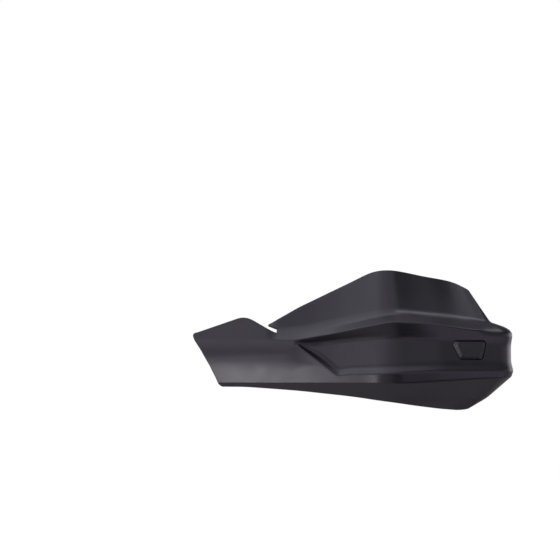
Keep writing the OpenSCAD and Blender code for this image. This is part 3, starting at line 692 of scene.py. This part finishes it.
def half_frame(angle, x=0.0, y=0.0, z=0.0):
    """Matrix of a straight half: x outboard from the bend, y back from the face, z up."""
    return shift(*bend_point, 0) @ Matrix.Rotation(angle, 4, "Z") @ shift(x, y, z)

def face_depth(s, z):
    p = low_corners(s)
    return -float(np.interp(z, [v[1] for v in p], [v[0] for v in p]))

def rounded_outline(polygon, r, steps=8):
    """A polygon with its corners rounded, as points."""
    out = []
    n = len(polygon)
    for i in range(n):
        p, a, b = (np.array(polygon[k % n], float) for k in (i, i - 1, i + 1))
        u, v = unit(a - p), unit(b - p)
        w = math.acos(np.clip(u @ v, -1, 1))
        cut = r / math.tan(w / 2)
        f = np.linspace(0, 1, steps + 1)[:, None]
        centre = p + unit(u + v) * r / math.sin(w / 2)
        start, end = p + u * cut - centre, p + v * cut - centre
        arc = unit_rows(start * (1 - f) + end * f) * r + centre
        out += [tuple(q) for q in arc]
    return out

def unit_rows(v):
    return v / np.linalg.norm(v, axis=1, keepdims=True)

def loft(name, rings, matrix=Matrix.Identity(4)):
    """Joins rings of equal length into a solid; each ring is a list of 3-D points in mm."""
    n = len(rings[0])
    points = [tuple(matrix @ Vector([c * MM for c in p])) for ring in rings for p in ring]
    faces = [(k * n + i, k * n + (i + 1) % n, (k + 1) * n + (i + 1) % n, (k + 1) * n + i)
             for k in range(len(rings) - 1) for i in range(n)]
    faces += [tuple(range(n - 1, -1, -1)), tuple((len(rings) - 1) * n + i for i in range(n))]
    mesh = bpy.data.meshes.new(name)
    mesh.from_pydata(points, [], faces)
    close_up(mesh)
    return mesh

def round_bar(name, r, y0, y1, matrix, r1=None, sides=48):
    """A cylinder or cone whose axis is the frame's y."""
    r1 = r if r1 is None else r1
    turn = np.linspace(0, 2 * math.pi, sides, endpoint=False)
    rings = [[(q * math.cos(a), y, q * math.sin(a)) for a in turn] for q, y in ((r, y0), (r1, y1))]
    return loft(name, rings, matrix)

def trapezoid(grow=0.0):
    """The plug's outline in its frame, larger or smaller all round."""
    h = PLUG_H / 2
    base = [(-18.4, h), (18.2, h), (14, -h), (-8.6, -h)]
    points = []
    n = len(base)
    for i in range(n):
        p, a, b = (np.array(base[k % n], float) for k in (i, i - 1, i + 1))
        na, nb = unit(p - a), unit(b - p)
        na, nb = np.array([-na[1], na[0]]), np.array([-nb[1], nb[0]])
        points.append(tuple(p + (na + nb) * grow / (1 + na @ nb)))
    return points

print("wall behind the plug starts at, mm:", round(face_depth(PLUG_X, 0), 2))

# %% [markdown]
# The bosses, fins and cup grow out of the wall behind the face. They are joined to it
# before the window and the screws' holes are cut, so each hole goes through both.

# %% Join the holders and cut the window
def as_object(mesh, name=None):
    thing = bpy.data.objects.new(name or mesh.name, mesh)
    bpy.context.collection.objects.link(thing)
    return thing

def plain_mesh(thing):
    """The object with its modifiers applied, as a new mesh."""
    graph = bpy.context.evaluated_depsgraph_get()
    return bpy.data.meshes.new_from_object(thing.evaluated_get(graph))

def combined(base, tools, how):
    """Runs exact Booleans on a mesh and returns the result as a new mesh."""
    thing = as_object(base, "work")
    helpers = []
    for k, tool in enumerate(tools):
        helper = as_object(tool, "tool_%d" % k)
        helpers.append(helper)
        modifier = thing.modifiers.new("b%d" % k, "BOOLEAN")
        modifier.operation = how
        modifier.solver = "EXACT"
        modifier.object = helper
    result = plain_mesh(thing)
    for extra in helpers + [thing]:
        bpy.data.objects.remove(extra)
    return result

def prism(name, outline, y0, y1, matrix):
    return loft(name, [[(x, y, z) for x, z in outline] for y in (y0, y1)], matrix)

PLUG_R, WINDOW_GAP, CUP_WALL, SCREW_X = 3.4, 0.5, 2.5, 1.3

def holders():
    """Solids that join the wall behind the face, and the holes cut through both."""
    seat = STRIP_OUT - STRIP_T / 2 - 3
    plug_frame = half_frame(OUTER, PLUG_X)
    cup_y = face_depth(PLUG_X, 0) + WALL / 2
    window_r = PLUG_R + WINDOW_GAP
    cup = rounded_outline(trapezoid(WINDOW_GAP + CUP_WALL), window_r + CUP_WALL)
    solids = [prism("cup", cup, cup_y, seat + 3, plug_frame)]
    cuts = [prism("window", rounded_outline(trapezoid(WINDOW_GAP), window_r), seat, -10, plug_frame),
            round_bar("seat_hole", 3.3, seat - 1, seat + 6, half_frame(OUTER, PLUG_X + SCREW_X))]
    for angle, x, z, depth in FIXINGS:
        foot, top = face_depth(x, z) + WALL / 2, depth - STRIP_T / 2 - PAD_T
        spot = half_frame(angle, x, 0, z)
        solids.append(round_bar("boss", 5.9, foot, top, spot, 5.5))
        solids.append(prism("fin", [(-1, -7), (-1, 11), (1, 11), (1, -7)], foot, top - 2, spot))
        cuts.append(round_bar("bore", 3.55, top - 6, top + 2, spot))
    return solids, cuts

solids, cuts = holders()
joined = combined(sheet_mesh, solids, "UNION")
shell_mesh = combined(joined, cuts, "DIFFERENCE")
print("shell: open edges and cm3", close_up(shell_mesh, 0.01 * MM), "faces", len(shell_mesh.polygons))

# %% [markdown]
# Smooth shading rounds off every edge it meets, and the flat facets of this guard need to
# stay flat. Edges sharper than 35 degrees are marked sharp, and the normals are weighted by
# face area, so that the large facets win over the narrow blends beside them.

# %% Finish the shell
def smoothed(mesh, angle=35):
    """Smooth shading, with edges sharper than the angle kept sharp."""
    bm = bmesh.new()
    bm.from_mesh(mesh)
    for face in bm.faces:
        face.smooth = True
    for edge in bm.edges:
        edge.smooth = edge.calc_face_angle(0) <= math.radians(angle)
    bm.to_mesh(mesh)
    bm.free()

def finish_piece(mesh, name, material, node):
    """Turns a mesh into a finished piece at the origin that stands for a CAD node."""
    mesh.materials.clear()
    mesh.materials.append(material)
    piece = as_object(mesh, name)
    modifier = piece.modifiers.new("normals", "WEIGHTED_NORMAL")
    modifier.keep_sharp = True
    modifier.weight = 60
    solid = plain_mesh(piece)
    piece.modifiers.clear()
    piece.data = solid
    solid.name = name
    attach(piece, "root")
    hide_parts(node)
    return piece

smoothed(shell_mesh)
shell = finish_piece(shell_mesh, "moulded_shell", plastic, "guard_shell")
print("shell triangles:", sum(len(p.vertices) - 2 for p in shell.data.polygons))

# %% [markdown]
# The plug is a small cap of the same plastic. Its face is flat, stands proud on the left and
# runs down until it is nearly flush on the right. It has a wide bevel on the left and narrow
# ones elsewhere, and its edges are soft. A loft from the outline to the smaller face gives
# all of that, with one ring for each bend of its profile.

# %% The plug
PROUD = 3.6
FALL = 0.72

def plug_rings():
    """Outline rings from the skirt to the face, as points in the plug's frame."""
    h = PLUG_H / 2
    wide = np.array(rounded_outline(trapezoid(0), PLUG_R))
    face = [(-14.0, h - 1.3), (14.2, h - 1.3), (10.6, 3 - h), (-6.9, 3 - h)]
    face = np.array(rounded_outline(face, 2.2))
    skirt = np.array(rounded_outline(trapezoid(-0.35), 3.1))
    bevel = [(0.02, 0.12), (0.08, -0.05), (0.3, -0.95), (0.6, -2.15), (0.87, -PROUD + 0.4),
             (0.95, -PROUD + 0.08), (1.03, -PROUD)]
    steps = [(skirt, 5.5), (skirt, 1.6), (wide, 1.5), (wide, 0.35)]
    steps += [(mix(wide, face, share), y) for share, y in bevel]
    base = face_depth(PLUG_X, 0)

    def lowered(x, y):
        """What stands proud is lowered towards the right."""
        return y * (1 - FALL * (x + 14) / 30) if y < 0 else y

    return [[(x, base + lowered(x, y), z) for x, z in outline] for outline, y in steps]

plug_mesh = loft("window_cap", plug_rings(), half_frame(OUTER, PLUG_X))
smoothed(plug_mesh, 50)
plug = finish_piece(plug_mesh, "window_cap", plastic, "window_plug")
print("plug:", len(plug.data.polygons), "faces")

# %% [markdown]
# The metal parts keep the shapes of the CAD nodes, but real edges are never sharp: turning,
# sawing and tumbling leave a small chamfer that catches the light. Each node is copied, its
# loose triangles are merged into whole faces, and a narrow bevel rounds every edge.

# %% Finishes for metal and rubber
def simple_finish(name, colours, rough, metal, grain, streak=None):
    """A finish with uneven colour and gloss, and a fine bump; streak turns it into lines."""
    material, tree = new_material(name)
    place = add(tree, "ShaderNodeTexCoord").outputs["Object"]
    surface = add(tree, "ShaderNodeBsdfPrincipled", Metallic=metal)
    clouds = noise(tree, place, 90, 3.0)
    colour = ramp(tree, clouds.outputs["Fac"], [(0.3, colours[0]), (0.7, colours[1])])
    link(tree, colour, surface.inputs["Base Color"])
    if streak:
        turn = add(tree, "ShaderNodeMapping")
        turn.inputs["Scale"].default_value = streak
        link(tree, place, turn.inputs["Vector"])
        place = turn.outputs["Vector"]
    lines = noise(tree, place, grain, 4.0, 0.6)
    gloss = ramp(tree, lines.outputs["Fac"], [(0.3, rough[0]), (0.7, rough[1])])
    link(tree, gloss, surface.inputs["Roughness"])
    bump = add(tree, "ShaderNodeBump", Strength=0.3, Distance=0.05 * MM)
    link(tree, lines.outputs["Fac"], bump.inputs["Height"])
    link(tree, bump.outputs["Normal"], surface.inputs["Normal"])
    finished(tree, surface)
    return material

# Darker and lighter colour, lowest and highest roughness, metal, grain and streaks
powder = simple_finish(
    "satin_powder_coat", [(0.016, 0.016, 0.017), (0.024, 0.024, 0.026)], (0.38, 0.5), 0.0, 1500)
black_oxide = simple_finish(
    "black_oxide_steel", [(0.03, 0.03, 0.032), (0.055, 0.053, 0.05)], (0.32, 0.45), 0.85, 900)
zinc = simple_finish(
    "zinc_plated_steel", [(0.48, 0.5, 0.53), (0.62, 0.62, 0.6)], (0.28, 0.42), 1.0, 500, (0.15, 1, 1))
turned = simple_finish(
    "turned_aluminium", [(0.7, 0.7, 0.71), (0.78, 0.78, 0.78)], (0.22, 0.36), 1.0, 700, (3.0, 0.2, 0.2))
brass = simple_finish(
    "machined_brass", [(0.66, 0.46, 0.17), (0.75, 0.55, 0.25)], (0.25, 0.38), 1.0, 700)
rubber = simple_finish(
    "black_rubber", [(0.012, 0.012, 0.012), (0.02, 0.02, 0.02)], (0.7, 0.85), 0.0, 1200)
print("finishes:", [m.name for m in (powder, black_oxide, zinc, turned, brass, rubber)])

# %% [markdown]
# The machined and bent pieces keep the form of the CAD solids. Each gets the small bevel
# that a deburred edge has and its finish.

# %% Soften the machined pieces
def softened(node, name, width, material, slot):
    """A copy of a CAD node with its facets merged and its edges bevelled, in its place."""
    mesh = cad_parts[node].data.copy()
    mesh.name = name
    bm = bmesh.new()
    bm.from_mesh(mesh)
    bmesh.ops.remove_doubles(bm, verts=bm.verts, dist=0.005 * MM)
    bmesh.ops.dissolve_limit(bm, angle_limit=math.radians(1.0), verts=bm.verts, edges=bm.edges)
    bmesh.ops.recalc_face_normals(bm, faces=bm.faces)
    bm.to_mesh(mesh)
    bm.free()
    mesh.materials.clear()
    mesh.materials.append(material)
    piece = as_object(mesh, name)
    bevel = piece.modifiers.new("edges", "BEVEL")
    bevel.width = width * MM
    bevel.segments = 2
    bevel.limit_method = "ANGLE"
    bevel.angle_limit = math.radians(40)
    bevel.harden_normals = False
    solid = plain_mesh(piece)
    smoothed(solid, 28)
    bpy.data.objects.remove(piece)
    return finish_piece(solid, name, material, node)

# CAD node, piece, width of the bevel in mm, finish and slot
SOFTENED = [
    ("backbone", "bent_backbone", 0.7, powder, "black_alloy"),
    ("bar_clamp_saddle", "clamp_saddle", 0.5, powder, "black_alloy"),
    ("bar_clamp_cap", "clamp_cap", 0.5, powder, "black_alloy"),
    ("bar_end_spacer", "tapered_spacer", 0.4, powder, "black_alloy"),
    ("bar_end_washer", "end_washer", 0.2, zinc, "zinc_steel"),
    ("expander_sleeve", "slotted_sleeve", 0.2, zinc, "zinc_steel"),
    ("expander_cone", "cone_nut", 0.3, zinc, "zinc_steel"),
    ("link_spacer", "link_ring", 0.25, turned, "bare_alloy"),
    ("link_washer", "flat_washer", 0.2, zinc, "zinc_steel"),
    ("plug_screw_washer", "hidden_washer", 0.15, black_oxide, "black_steel"),
    ("shell_screw_washers", "small_washers", 0.15, zinc, "zinc_steel"),
    ("thread_inserts", "brass_threads", 0.15, brass, "brass"),
    ("rubber_pads", "rubber_rings", 0.3, rubber, "rubber"),
]
for row in SOFTENED:
    made = softened(*row)
    print(made.name, len(made.data.polygons), "faces")

# %% [markdown]
# Screws are what repeats here: a thread is the same groove turn after turn, and the side of
# a cap screw's head is knurled so that fingers can start it. Both are ridges on a cylinder,
# so one node group makes them. It pushes a cylinder's points in by a wave that depends on
# the angle and the height. One start and a short pitch give a thread; many starts and an
# endless pitch give a straight knurl. The far end is chamfered in the same step.

# %% Ridged cylinders with Geometry Nodes
FLOATS = ("Radius", "Length", "Depth", "Pitch", "Starts", "Chamfer")
COUNTS = ("Sides", "Rings")

def ridged_group():
    """The node group, with inputs named for what they set."""
    tree = bpy.data.node_groups.new("ridged_cylinder", "GeometryNodeTree")
    kinds = [(name, "NodeSocketFloat") for name in FLOATS] + [(name, "NodeSocketInt") for name in COUNTS]
    kinds.append(("Finish", "NodeSocketMaterial"))
    for name, kind in kinds:
        tree.interface.new_socket(name, in_out="INPUT", socket_type=kind)
    tree.interface.new_socket("Geometry", in_out="OUTPUT", socket_type="NodeSocketGeometry")
    given = tree.nodes.new("NodeGroupInput").outputs

    def calc(how, a, b=0.0):
        node = add(tree, "ShaderNodeMath", operation=how)
        for socket, value in zip(node.inputs, (a, b)):
            if isinstance(value, float):
                socket.default_value = value
            else:
                link(tree, value, socket)
        return node.outputs[0]

    body = add(tree, "GeometryNodeMeshCylinder", fill_type="NGON")
    sizes = {"Sides": "Vertices", "Rings": "Side Segments", "Radius": "Radius", "Length": "Depth"}
    for name, target in sizes.items():
        link(tree, given[name], body.inputs[target])
    split = add(tree, "ShaderNodeSeparateXYZ")
    link(tree, add(tree, "GeometryNodeInputPosition").outputs[0], split.inputs[0])
    x, y, z = split.outputs
    turn = calc("MULTIPLY", calc("DIVIDE", calc("ARCTAN2", y, x), 2 * math.pi), given["Starts"])
    wave = calc("PINGPONG", calc("SUBTRACT", calc("DIVIDE", z, given["Pitch"]), turn), 0.5)
    groove = calc("MULTIPLY", calc("MULTIPLY", wave, 2.0), given["Depth"])
    past = calc("SUBTRACT", z, calc("SUBTRACT", calc("MULTIPLY", given["Length"], 0.5), given["Chamfer"]))
    inward = calc("DIVIDE", calc("ADD", groove, calc("MAXIMUM", past, 0.0)), given["Radius"])
    flat = add(tree, "ShaderNodeCombineXYZ")
    link(tree, x, flat.inputs[0])
    link(tree, y, flat.inputs[1])
    push = add(tree, "ShaderNodeVectorMath", operation="SCALE")
    link(tree, flat.outputs[0], push.inputs[0])
    link(tree, calc("MULTIPLY", inward, -1.0), push.inputs["Scale"])
    shaped = add(tree, "GeometryNodeSetPosition")
    link(tree, body.outputs["Mesh"], shaped.inputs["Geometry"])
    link(tree, push.outputs[0], shaped.inputs["Offset"])
    real = add(tree, "GeometryNodeRealizeInstances")
    link(tree, shaped.outputs[0], real.inputs[0])
    painted = add(tree, "GeometryNodeSetMaterial")
    link(tree, real.outputs[0], painted.inputs["Geometry"])
    link(tree, given["Finish"], painted.inputs["Material"])
    link(tree, painted.outputs[0], tree.nodes.new("NodeGroupOutput").inputs[0])
    return tree

RIDGES = ridged_group()

def ridged(finish, low, high, sides, rings, starts=1, chamfer=0.0, **size):
    """A ridged cylinder from height low to high, as a plain mesh; sizes in mm."""
    values = {name.title(): value * MM for name, value in size.items()}
    values.update({"Length": (high - low) * MM, "Chamfer": chamfer * MM, "Starts": float(starts),
                   "Sides": sides, "Rings": rings, "Finish": finish})
    thing = as_object(bpy.data.meshes.new("blank"), "blank")
    modifier = thing.modifiers.new("ridges", "NODES")
    modifier.node_group = RIDGES
    for item in RIDGES.interface.items_tree:
        if item.in_out == "INPUT":
            modifier[item.identifier] = values[item.name]
    mesh = plain_mesh(thing)
    bpy.data.objects.remove(thing)
    mesh.transform(shift(0, 0, (low + high) / 2))
    return mesh

print("node group:", RIDGES.name, [item.name for item in RIDGES.interface.items_tree])

# %% [markdown]
# Every screw is drawn upright, its head above and its shank below, then turned into place.
# The head is turned or knurled and gets its socket from a Boolean, with the cone that a
# punch leaves at the bottom. The hexagon head and the nut are a hexagon bar meeting a
# turned shape, which is how a real one gets the curved corners on its flats.

# %% Screws, heads and the nut
def turned_solid(profile, sides=48):
    """A solid of revolution from (radius, height) pairs."""
    turn = np.linspace(0, 2 * math.pi, sides, endpoint=False)
    return loft("turned", [[(r * math.cos(a), r * math.sin(a), z) for a in turn] for r, z in profile])

def hexagon(r, low, high, tip=None):
    rings = [(r, low), (r, high)] if tip is None else [(0.2, low - tip), (r, low), (r, high)]
    return turned_solid(rings, 6)

def socketed(head, r, floor_z, top):
    return combined(head, [hexagon(r, floor_z, top + 1, 0.9)], "DIFFERENCE")

def knurled_head(finish, r, high):
    return ridged(finish, 0, high, 132, 12, starts=33, chamfer=0.6, radius=r, depth=0.22, pitch=1e6)

FLIP = Matrix.Rotation(math.pi, 4, "X")
THREAD_DEPTH = 0.58

def threaded_shank(finish, r, length, thread, pitch):
    """A plain neck and a thread below it, with a chamfered end."""
    rings = round(thread / pitch * 8)
    depth = THREAD_DEPTH * pitch
    end = ridged(finish, 0, thread, 32, rings, chamfer=0.7, radius=r, depth=depth, pitch=pitch)
    end.transform(shift(0, 0, -length) @ FLIP @ shift(0, 0, -thread))
    return [turned_solid([(r, thread - length - 0.05), (r, 0.4)], 32), end]

def in_place(parts, places):
    """Joins meshes into one and repeats it at each place."""
    bm = bmesh.new()
    for spot in places:
        for part in parts:
            copy = part.copy()
            copy.transform(spot)
            bm.from_mesh(copy)
    bmesh.ops.recalc_face_normals(bm, faces=bm.faces)
    mesh = bpy.data.meshes.new("screws")
    bm.to_mesh(mesh)
    bm.free()
    return mesh

def along_bar(x, y=0.0):
    """A screw along the handlebar, its head outboard."""
    return shift(x, y, 0) @ Matrix.Rotation(math.pi / 2, 4, "Y")

def backwards(matrix):
    """A screw along a frame's y, its head towards the rider."""
    return matrix @ Matrix.Rotation(-math.pi / 2, 4, "X")

print("depth of the end bolt's thread, mm:", round(THREAD_DEPTH * 1.25, 2))

# %% [markdown]
# Each screw is a head and a shank, turned and moved to its places. Sizes are in
# millimetres, and distances along the handlebar count from its open end.

# %% The screws in their places
STANDOFF, LINK_X, LINK_Y, CLAMP_X, EAR_Z = 14.0, -178.5, -28.0, -169.0, 17.5
WASHER_T, SPACER_T, LUG_T = 1.6, 3, 6
button = [(4.5, 0), (4.7, 0.2), (4.65, 0.7), (4.35, 1.5), (3.9, 2.1), (3.2, 2.6), (2.6, 2.78), (2.2, 2.8)]
dome = [(4.8, 0), (5, 0.15), (4.9, 0.8), (4.5, 1.6), (4.0, 2.2), (3.6, 2.5), (3.3, 2.6)]
bolt_turn = [(8, -1), (8, 4.4), (6.1, 5.5)]
nut_turn = [(6.3, 0), (7.7, 0.8), (7.7, 5.7), (6.3, 6.5)]
nut_hole = [(4.7, -0.1), (4.05, 0.6), (4.05, 5.9), (4.7, 6.6)]
nut_body = combined(hexagon(7.5, 0, 6.5), [turned_solid(nut_turn)], "INTERSECT")

# CAD node, piece, finish, places, head and shank: radius, length, thread and pitch
SCREWS = [
    ("bar_end_bolt", "end_bolt", black_oxide, [along_bar(STANDOFF + STRIP_T + WASHER_T)],
     socketed(knurled_head(black_oxide, 6.4, 8.0), 3.46, 3, 8), (4, 62.3, 26, 1.25)),
    ("clamp_screws", "cap_screws", black_oxide,
     [backwards(shift(CLAMP_X, 8, z)) for z in (-EAR_Z, EAR_Z)],
     socketed(knurled_head(black_oxide, 5, 6), 2.89, 3, 6), (3, 15.5, 11, 1.0)),
    ("shell_screws", "button_screws", black_oxide,
     [backwards(half_frame(angle, x, depth + STRIP_T / 2 + 1, z)) for angle, x, z, depth in FIXINGS],
     socketed(turned_solid(button), 1.73, 1, 2.8), (2.5, 13.5, 9, 0.8)),
    ("plug_screw", "hidden_screw", black_oxide,
     [backwards(half_frame(OUTER, PLUG_X + SCREW_X, STRIP_OUT - STRIP_T / 2 - 4.2)) @ FLIP],
     socketed(turned_solid(dome), 2.31, 1.0, 2.6), (3, 10.7, 7, 1.0)),
    ("link_bolt", "hexagon_bolt", zinc, [along_bar(LINK_X - STRIP_T / 2, LINK_Y) @ FLIP],
     combined(hexagon(7.5, 0, 5.3), [turned_solid(bolt_turn)], "INTERSECT"), (4, 23.6, 16, 1.25)),
    ("link_nut", "hexagon_nut", zinc,
     [along_bar(LINK_X + STRIP_T / 2 + SPACER_T + LUG_T + WASHER_T, LINK_Y)],
     combined(nut_body, [turned_solid(nut_hole, 32)], "DIFFERENCE"), None),
]
for node, name, finish, places, head, shank in SCREWS:
    screws = in_place([head] + (threaded_shank(finish, *shank) if shank else []), places)
    smoothed(screws, 32)
    piece = finish_piece(screws, name, finish, node)
    low, high = (np.array(piece.bound_box)[[0, 6]] * 1000).round(1)
    print(name, len(screws.polygons), "faces, mm from", low, "to", high)
